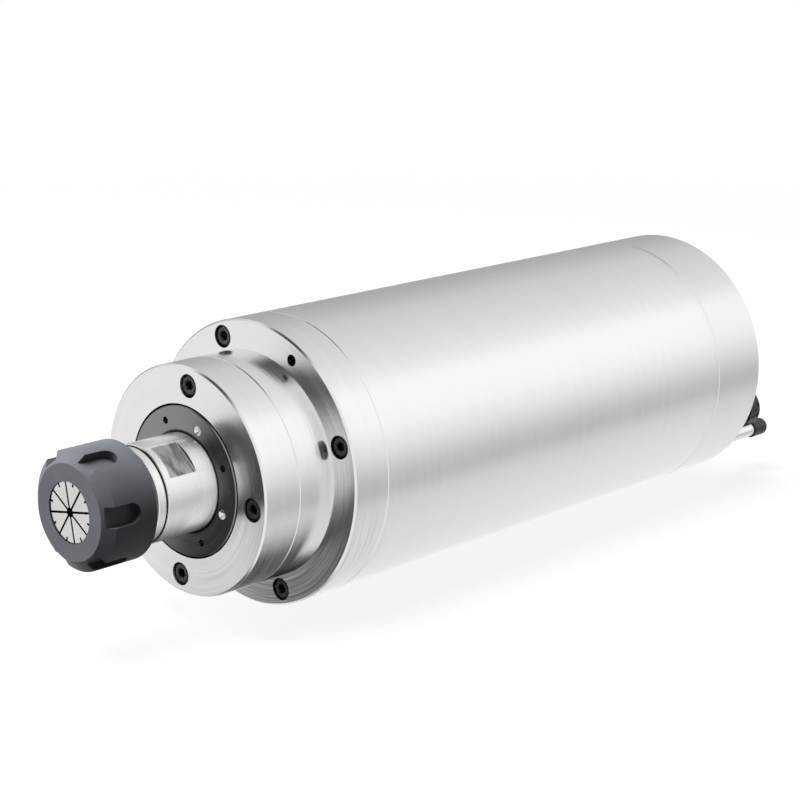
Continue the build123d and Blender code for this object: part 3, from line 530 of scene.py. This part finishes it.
def cast_metal(name, colour, roughness):
    """Die cast metal with a fine pebbled skin."""
    material, shader = new_material(name)
    place = shader.place()
    skin = shader.noise(place, 500.0, 4.0)
    cloud = shader.noise(place, 45.0, 2.0)
    shader.surface(
        Metallic=1.0,
        Base_Color=shader.mix(shader.span(cloud, 0.3, 0.7), darker(colour, 0.16), colour),
        Roughness=shader.span(skin, 0.3, 0.7, roughness * 0.85, roughness * 1.2),
        Normal=shader.bump(skin, 0.35, 0.12 * MM),
    )
    return material


def sleeved(name, colour):
    """Varnished woven sleeve: two sets of threads that cross each other along the lead."""
    material, shader = new_material(name)
    x, y, z = shader.split(shader.place())
    threads = 5200
    warp = shader.node("ShaderNodeMath", {"operation": "SINE"}, (x + y + z) * threads)
    weft = shader.node("ShaderNodeMath", {"operation": "SINE"}, (x - y - z) * threads)
    weave = warp * weft * 0.5 + 0.5
    shader.surface(
        Base_Color=shader.mix(shader.span(weave, 0.2, 0.8), darker(colour, 0.35), colour),
        Roughness=shader.span(weave, 0.2, 0.8, 0.6, 0.45),
        Normal=shader.bump(weave, 0.6, 0.12 * MM),
    )
    return material


# The material slots of the record, and how each one is made from its name and the colours c
SLOTS = {row["node"]: row["material_slot"] for row in frame["record"]["subparts"]}
FINISHES = {
    "satin_steel": lambda slot, c: turned_metal(
        slot, c.steel, 0.21, side=0.13, face=0.2, lean=0.12, stain=0.02, rear_tone=(0.87, 0.862, 0.845)),
    "turned_steel": lambda slot, c: turned_metal(
        slot, c.steel, 0.2, side=0.25, face=0.12, lean=0.13, tip=0.12, flange_lean=0.21),
    "shaft_steel": lambda slot, c: ground_shaft(slot, c.steel),
    "collet_steel": lambda slot, c: slit_steel(slot, darker(c.steel, 0.1)),
    "black_oxide": lambda slot, c: blackened(slot, c.oxide, 0.4),
    # The nose ring's near-black colour close round the shaft is painted shade, for the gap between ring and
    # shaft
    "ring_black": lambda slot, c: turned_metal(
        slot, c.ring, 0.27, side=0.2, face=0.12, lean=0.3, stain=0.06, painted_bore_shade=(0.03, 0.03, 0.03)),
    "screw_black": lambda slot, c: blackened(slot, darker(c.oxide, 0.7), 0.32, speck=0.3),
    "bearing_steel": lambda slot, c: turned_metal(slot, (0.82, 0.82, 0.81), 0.1, side=0.06, face=0.06),
    "cage_resin": lambda slot, c: moulded(slot, (0.33, 0.17, 0.07), 0.5, grain=1500.0, mottle=0.3),
    "spring_steel": lambda slot, c: turned_metal(slot, (0.5, 0.47, 0.42), 0.3, stain=0.2),
    "jacket_aluminium": lambda slot, c: turned_metal(
        slot, (0.84, 0.85, 0.86), 0.3, side=0.4, pitch=0.4 * MM, stain=0.08),
    "lamination_steel": lambda slot, c: laminated(slot, (0.45, 0.45, 0.46)),
    "copper": lambda slot, c: wound_copper(slot, (0.78, 0.33, 0.13)),
    "cage_aluminium": lambda slot, c: cast_metal(slot, (0.74, 0.75, 0.77), 0.4),
    "balance_brass": lambda slot, c: turned_metal(slot, (0.83, 0.62, 0.28), 0.22, stain=0.1),
    "nozzle_steel": lambda slot, c: turned_metal(slot, c.steel, 0.16, side=0.2, face=0.2),
    "seal_rubber": lambda slot, c: moulded(slot, c.rubber, 0.6, grain=1200.0),
    "cap_rubber": lambda slot, c: moulded(slot, c.rubber, 0.42, grain=700.0),
    "gland_nylon": lambda slot, c: moulded(
        slot, darker(c.rubber, 0.1), 0.36, grain=1400.0, depth=0.02 * MM),
    "lead_sleeve": lambda slot, c: sleeved(slot, (0.42, 0.06, 0.035)),
}


def finish_of(slot):
    """The material made for one of the record's material slots."""
    return bpy.data.materials[slot + "_finish"]


class SPINDLE_OT_finishes(bpy.types.Operator):
    """Make every finish and give each carried-over node its own"""

    bl_idname = "spindle.finishes"
    bl_label = "Finishes"

    def execute(self, context):
        colours = context.scene.spindle_finish
        for slot, maker in FINISHES.items():
            maker(slot, colours)
        for name, item in frame["nodes"].items():
            for place in item.material_slots:
                place.material = finish_of(SLOTS[name])
        return {"FINISHED"}


# ---------------------------------------------------------------- stage
def studio_world(fill):
    """White for the camera, even light for matt surfaces, soft broad panels for the metal."""
    world = bpy.data.worlds.new("studio")
    bpy.context.scene.world = world
    world.use_nodes = True
    world.cycles.sampling_method = "NONE"
    shader = Shader(world.node_tree)
    x, y, z = shader.split(shader.node("ShaderNodeTexCoord", output="Generated"))
    low = shader.span(z, -0.64, -0.40, 0.96, 0.0)

    # Round sides reflect what lies behind the spindle: the side light, with a low dark card in it
    turn = shader.node("ShaderNodeMath", {"operation": "ARCTAN2"}, z, y) / (2 * pi) + 0.5
    side_light = shader.ramp(turn, [((angle + 180) / 360, level) for angle, level in SIDE_LIGHT])
    card = shader.window(x, 0.34, 0.42, 0.58, 0.66) * shader.span(y, -0.75, -0.1)
    behind = side_light * (1 - card * low)

    # End faces reflect what lies before the nose: a pale wall with a dark gap, dark below to one side
    gap = shader.window(y, -0.25, 0.05, 0.38, 0.62)
    ahead = (1 - gap * 0.92) * (1 - low * shader.span(y, 0.1, 0.35)) * 0.88

    panels = shader.mix(shader.span(x, -0.25, 0.25), shader.joined(ahead, ahead, ahead), behind)
    seen = shader.mix(shader.ray("Glossy"), (fill, fill, fill), panels)
    white = shader.mix(shader.ray("Camera") + shader.ray("Transmission"), seen, (1, 1, 1))
    shader.node("ShaderNodeOutputWorld", None, shader.node("ShaderNodeBackground", None, white, 1.0))


def floor_material():
    """Pale floor that shows white to the camera, keeps a soft shadow, and is unseen in the metal."""
    material, shader = new_material("pale_floor")
    place = shader.place()
    far = shader.span(shader.vector("LENGTH", place, output="Value"), 0.5, 1.5, 0.86, 1.0)
    pale = shader.mix(shader.noise(place, 3.0, 2.0), (0.86, 0.86, 0.86), (0.88, 0.88, 0.88))
    matt = shader.node("ShaderNodeBsdfDiffuse", None, pale)
    glow = shader.node("ShaderNodeEmission", None, (1, 1, 1, 1), 1.0)
    lit = shader.node("ShaderNodeMixShader", None, shader.ray("Camera") * far, matt, glow)
    clear = shader.node("ShaderNodeBsdfTransparent")
    shader.node("ShaderNodeOutputMaterial", None,
                shader.node("ShaderNodeMixShader", None, shader.ray("Glossy"), lit, clear))
    return material


class SPINDLE_OT_stage(bpy.types.Operator):
    """Build the floor, the light and the camera"""

    bl_idname = "spindle.stage"
    bl_label = "Stage"

    def execute(self, context):
        scene = context.scene
        stage = scene.spindle_stage
        studio_world(stage.fill)
        middle = Vector(stage.middle)
        floor_bm = bmesh.new()
        bmesh.ops.create_grid(floor_bm, x_segments=1, y_segments=1, size=stage.floor_size / 2,
                              matrix=Matrix.Translation((middle.x, middle.y, cad_box[0].z)))
        floor = make_object("floor", floor_bm, floor_material())
        floor.visible_diffuse = False
        for name, place, power in (("key", stage.key_place, stage.key_strength),
                                   ("front", stage.front_place, stage.front_strength)):
            lamp = bpy.data.lights.new(name, "AREA")
            lamp.shape = "DISK"
            lamp.size = stage.lamp_width
            lamp.energy = power
            item = bpy.data.objects.new(name, lamp)
            item.location = place
            item.rotation_euler = (middle - item.location).to_track_quat("-Z", "Y").to_euler()
            item.visible_glossy = False
            scene.collection.objects.link(item)
        lens = bpy.data.cameras.new("camera")
        lens.lens = stage.lens
        lens.sensor_width = 36
        lens.clip_start = 0.01
        camera = bpy.data.objects.new("camera", lens)
        camera.location = stage.camera_place
        camera.rotation_euler = Vector(stage.camera_aim).to_track_quat("-Z", "Y").to_euler()
        scene.collection.objects.link(camera)
        scene.camera = camera
        scene.view_settings.view_transform = "Standard"
        return {"FINISHED"}


# ---------------------------------------------------------------- mesh helpers
def make_object(name, mesh_bm, *materials):
    """Turn a finished bmesh into an object at the origin, with its parts in the same order each run."""
    askew = Vector((0.83, 0.47, 0.31))
    mesh_bm.verts.sort(key=lambda vert: vert.co.dot(askew))
    mesh_bm.edges.sort(key=lambda edge: (edge.verts[0].co + edge.verts[1].co).dot(askew))
    mesh_bm.faces.sort(key=lambda face: face.calc_center_median().dot(askew))
    mesh = bpy.data.meshes.new(name)
    mesh_bm.to_mesh(mesh)
    mesh_bm.free()
    for material in materials:
        mesh.materials.append(material)
    item = bpy.data.objects.new(name, mesh)
    bpy.context.scene.collection.objects.link(item)
    return item


def mesh_copy(node):
    """A bmesh of a node's mesh, with its corners merged and its flat areas joined."""
    bm = bmesh.new()
    bm.from_mesh(frame["nodes"][node].data)
    bmesh.ops.remove_doubles(bm, verts=bm.verts, dist=0.004 * MM)
    bmesh.ops.dissolve_limit(bm, angle_limit=radians(0.3), verts=bm.verts, edges=bm.edges)
    return bm


def soften(bm, width, segments=2, from_angle=28):
    """Round the sharp edges a little, as a file or a worn edge does."""
    sharp = [e for e in bm.edges if e.is_manifold and e.calc_face_angle(0) > radians(from_angle)]
    bmesh.ops.bevel(bm, geom=sharp, offset=width, offset_type="WIDTH", affect="EDGES", segments=segments,
                    profile=0.5, material=-1, clamp_overlap=True)


def shade_between(item, angle):
    """Shade a mesh smooth between the edges that turn by more than an angle in degrees."""
    item.data.shade_smooth()
    item.data.set_sharp_from_angle(angle=radians(angle))


def finish_piece(bm, name, body, *nodes, smooth=32):
    """Shade a piece smooth between its edges, and put it in the place of the nodes it stands for."""
    item = make_object(name, bm, finish_of(SLOTS[nodes[0]]))
    if "custom_normal" in item.data.attributes:
        item.data.attributes.remove(item.data.attributes["custom_normal"])
    shade_between(item, smooth)
    even = item.modifiers.new("even_normals", "WEIGHTED_NORMAL")
    even.keep_sharp = True
    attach(item, body)
    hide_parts(*nodes)
    return item


def clock_place(clock, radius, station, facing=1):
    """Where a piece made along +X from the origin goes: its clock angle, radius and station."""
    place = Matrix.Rotation(radians(clock), 4, "X") @ Matrix.Translation((station, radius, 0))
    return place if facing > 0 else place @ Matrix.Rotation(pi, 4, "Z")


def drawn(bm, segments, rings, place=Matrix()):
    """A closed form along +X, drawn through rings of (station, radius) in millimetres.

    A radius may be a function of the angle about the axis.
    """
    upright = Matrix.Rotation(pi / 2, 4, "Y")
    verts = bmesh.ops.create_circle(bm, segments=segments, radius=MM, matrix=upright)["verts"]
    first = edges = list(dict.fromkeys(edge for vert in verts for edge in vert.link_edges))
    made = list(verts)
    for step, (station, radius) in enumerate(rings):
        if step:
            grown = bmesh.ops.extrude_edge_only(bm, edges=edges)["geom"]
            edges = [g for g in grown if isinstance(g, bmesh.types.BMEdge)]
            verts = [g for g in grown if isinstance(g, bmesh.types.BMVert)]
            made += verts
        for vert in verts:
            angle = atan2(vert.co.z, vert.co.y)
            reach = radius(angle) if callable(radius) else radius
            vert.co = Vector((station, reach * cos(angle), reach * sin(angle))) * MM
    for rim in (first, edges):
        bmesh.ops.contextual_create(bm, geom=rim)
    bmesh.ops.transform(bm, matrix=place, verts=made)
    faces = list(dict.fromkeys(face for vert in made for face in vert.link_faces))
    bmesh.ops.recalc_face_normals(bm, faces=faces)


def hexagon(apothem):
    """The radius of a hexagon at an angle."""
    return lambda angle: apothem / cos((angle + pi / 6) % (pi / 3) - pi / 6)


def knurl(radius, depth, teeth):
    """The radius of a knurled rim at an angle."""
    return lambda angle: radius - depth * (0.5 + 0.5 * cos(teeth * angle))


# ---------------------------------------------------------------- pieces
class SPINDLE_OT_body(bpy.types.Operator):
    """Break the edges of the turned body pieces"""

    bl_idname = "spindle.body"
    bl_label = "Body edges"

    def execute(self, context):
        size = context.scene.spindle_sizes
        for node, body in (("barrel", "housing"), ("front_flange", "housing"), ("front_cover", "housing"),
                           ("rear_cover", "housing"), ("labyrinth_ring", "rotor")):
            bm = mesh_copy(node)
            soften(bm, size.edge_break)
            finish_piece(bm, node + "_shell", body, node)
        return {"FINISHED"}


class SPINDLE_OT_nut(bpy.types.Operator):
    """Round the edges of the clamping nut and its spanner slots"""

    bl_idname = "spindle.nut"
    bl_label = "Clamping nut"

    def execute(self, context):
        bm = mesh_copy("clamping_nut")
        soften(bm, context.scene.spindle_sizes.nut_round, segments=3, from_angle=24)
        finish_piece(bm, "collet_nut", "nut", "clamping_nut")
        return {"FINISHED"}


class SPINDLE_OT_collet(bpy.types.Operator):
    """Open the slits of the collet to their full width"""

    bl_idname = "spindle.collet"
    bl_label = "Collet"

    def execute(self, context):
        widening = context.scene.spindle_sizes.slit_width / 2 - COLLET_SLIT / 2
        on_wall = 0.02 * MM
        bm = mesh_copy("collet")
        for spoke in range(2 * COLLET_SLITS):
            angle = radians(COLLET_CLOCK + 180 / COLLET_SLITS * spoke)
            out = Vector((0, cos(angle), sin(angle)))
            across = AXIS.cross(out)
            for vert in bm.verts:
                offset = vert.co.dot(across)
                if vert.co.dot(out) > 0 and abs(abs(offset) - COLLET_SLIT / 2) < on_wall:
                    vert.co += across * widening * (1 if offset > 0 else -1)
        finish_piece(bm, "spring_collet", "collet", "collet", smooth=24)
        return {"FINISHED"}


class SPINDLE_OT_nose(bpy.types.Operator):
    """Cut the nose of the shaft to the root of its thread and run the thread round it"""

    bl_idname = "spindle.nose"
    bl_label = "Shaft and nose thread"

    def execute(self, context):
        size = context.scene.spindle_sizes
        root = thread_radius - size.thread_depth
        on_crest = 0.05 * MM
        shaft = mesh_copy("shaft")
        for vert in shaft.verts:
            radius = Vector((0, vert.co.y, vert.co.z)).length
            if vert.co.x < thread_end + MM and abs(radius - thread_radius) < on_crest:
                vert.co.y *= root / radius
                vert.co.z *= root / radius
        soften(shaft, size.edge_break)
        finish_piece(shaft, "spindle_shaft", "rotor", "shaft")

        # One turn's outline, in shares of the pitch: it starts a little inside the nose
        bm = bmesh.new()
        pitch = size.thread_pitch
        foot = root - 0.1 * MM
        section = [(0.0, foot), (0.06, root), (0.42, thread_radius), (0.58, thread_radius), (0.94, root),
                   (1.0, foot)]
        verts = [bm.verts.new((thread_start + share * pitch, radius, 0)) for share, radius in section]
        edges = [bm.edges.new(pair) for pair in zip(verts, verts[1:] + verts[:1])]
        turns = int((thread_end - thread_start) / pitch) - 1
        steps = 72
        last = bmesh.ops.spin(bm, geom=verts + edges, axis=AXIS, cent=(0, 0, 0), angle=2 * pi * turns,
                              steps=steps * turns, dvec=AXIS * pitch / steps, use_merge=False)["geom_last"]
        bmesh.ops.contextual_create(bm, geom=edges)
        bmesh.ops.contextual_create(bm, geom=[g for g in last if isinstance(g, bmesh.types.BMEdge)])
        bmesh.ops.recalc_face_normals(bm, faces=bm.faces)
        item = make_object("nose_thread", bm, finish_of("shaft_steel"))
        shade_between(item, 30)
        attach(item, "rotor")
        return {"FINISHED"}


def cap_screw(bm, head_width, key_width, length, place):
    """A socket head cap screw along +X: its shank from the tip, its head, and the socket in its head."""
    shank = 2.5
    seat = 5.0
    tip = seat + length
    head = head_width / MM / 2
    rim = knurl(head, depth=0.16, teeth=36)
    key = hexagon(key_width / MM / 2)
    shank_rings = ((tip, 1.0), (tip, 2.1), (tip - 0.4, shank), (seat, shank))
    head_rings = ((seat, head - 0.3), (seat - 0.2, rim), (0.62, rim), (0.5, head - 0.2), (0.22, head - 0.32),
                  (0.02, head - 0.7), (0.0, head - 0.85))
    socket_rings = ((0.0, key(0) + 0.5), (0.3, key), (2.7, key), (3.4, 0.2))
    drawn(bm, 72, shank_rings + head_rings + socket_rings, place)


class SPINDLE_OT_screws(bpy.types.Operator):
    """Make the socket screws, with knurled heads and hexagon sockets"""

    bl_idname = "spindle.screws"
    bl_label = "Socket screws"

    def execute(self, context):
        size = context.scene.spindle_sizes
        for node, radius, clock, facing, length in SCREW_RINGS:
            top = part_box(node)[0 if facing > 0 else 1].x
            bm = bmesh.new()
            for quarter in range(4):
                cap_screw(bm, size.screw_head, size.screw_key, length,
                          clock_place(clock + 90 * quarter, radius * MM, top, facing))
            finish_piece(bm, node.replace("screws", "cap_screws"), "housing", node, smooth=40)
        return {"FINISHED"}


class SPINDLE_OT_ring_cones(bpy.types.Operator):
    """Make the bright drilled cones in the large holes of the nose ring"""

    bl_idname = "spindle.ring_cones"
    bl_label = "Ring hole cones"

    def execute(self, context):
        plug_rings = ((2.3, 1.0), (2.3, 2.0), (0.12, 2.05))
        cone_rings = ((0.08, 1.98), (1.5, 0.35), (1.62, 0.1))
        bm = bmesh.new()
        for quarter in range(4):
            drawn(bm, 40, plug_rings + cone_rings,
                  clock_place(LARGE_HOLES_CLOCK + 90 * quarter, large_holes_radius, ring_face))
        item = make_object("ring_cones", bm, finish_of("nozzle_steel"))
        shade_between(item, 35)
        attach(item, "rotor")
        return {"FINISHED"}


class SPINDLE_OT_rear(bpy.types.Operator):
    """Round the edges of the gland, the nozzles and their caps on the rear face"""

    bl_idname = "spindle.rear"
    bl_label = "Rear fittings"

    def execute(self, context):
        size = context.scene.spindle_sizes
        for node, body in (("power_gland_body", "housing"), ("power_gland_nut", "housing"),
                           ("water_inlet_nozzle", "housing"), ("water_outlet_nozzle", "housing"),
                           ("water_inlet_cap", "inlet_cap"), ("water_outlet_cap", "outlet_cap"),
                           ("ground_screw", "housing")):
            bm = mesh_copy(node)
            soften(bm, size.edge_break)
            finish_piece(bm, node + "_round", body, node)
        return {"FINISHED"}


# ---------------------------------------------------------------- panel and registration
class SPINDLE_PT_panel(bpy.types.Panel):
    """Lists what the add-on can build"""

    bl_idname = "SPINDLE_PT_panel"
    bl_label = "Motor spindle"
    bl_space_type = "VIEW_3D"
    bl_region_type = "UI"
    bl_category = "Spindle"

    def draw(self, context):
        scene = context.scene
        for group in (scene.spindle_finish, scene.spindle_sizes, scene.spindle_stage):
            for name in group.__annotations__:
                self.layout.prop(group, name)
        for operator in OPERATORS:
            self.layout.operator(operator.bl_idname)


OPERATORS = (SPINDLE_OT_finishes, SPINDLE_OT_stage, SPINDLE_OT_body, SPINDLE_OT_nut, SPINDLE_OT_collet,
             SPINDLE_OT_nose, SPINDLE_OT_screws, SPINDLE_OT_ring_cones, SPINDLE_OT_rear)
CLASSES = (SPINDLE_PG_finish, SPINDLE_PG_sizes, SPINDLE_PG_stage, *OPERATORS, SPINDLE_PT_panel)


def register():
    for item in CLASSES:
        bpy.utils.register_class(item)
    bpy.types.Scene.spindle_finish = bpy.props.PointerProperty(type=SPINDLE_PG_finish)
    bpy.types.Scene.spindle_sizes = bpy.props.PointerProperty(type=SPINDLE_PG_sizes)
    bpy.types.Scene.spindle_stage = bpy.props.PointerProperty(type=SPINDLE_PG_stage)


def unregister():
    del bpy.types.Scene.spindle_stage
    del bpy.types.Scene.spindle_sizes
    del bpy.types.Scene.spindle_finish
    for item in reversed(CLASSES):
        bpy.utils.unregister_class(item)


def main():
    register()
    bpy.ops.spindle.finishes()
    bpy.ops.spindle.stage()
    bpy.ops.spindle.body()
    bpy.ops.spindle.nut()
    bpy.ops.spindle.collet()
    bpy.ops.spindle.nose()
    bpy.ops.spindle.screws()
    bpy.ops.spindle.ring_cones()
    bpy.ops.spindle.rear()


if __name__ == "__main__":
    main()
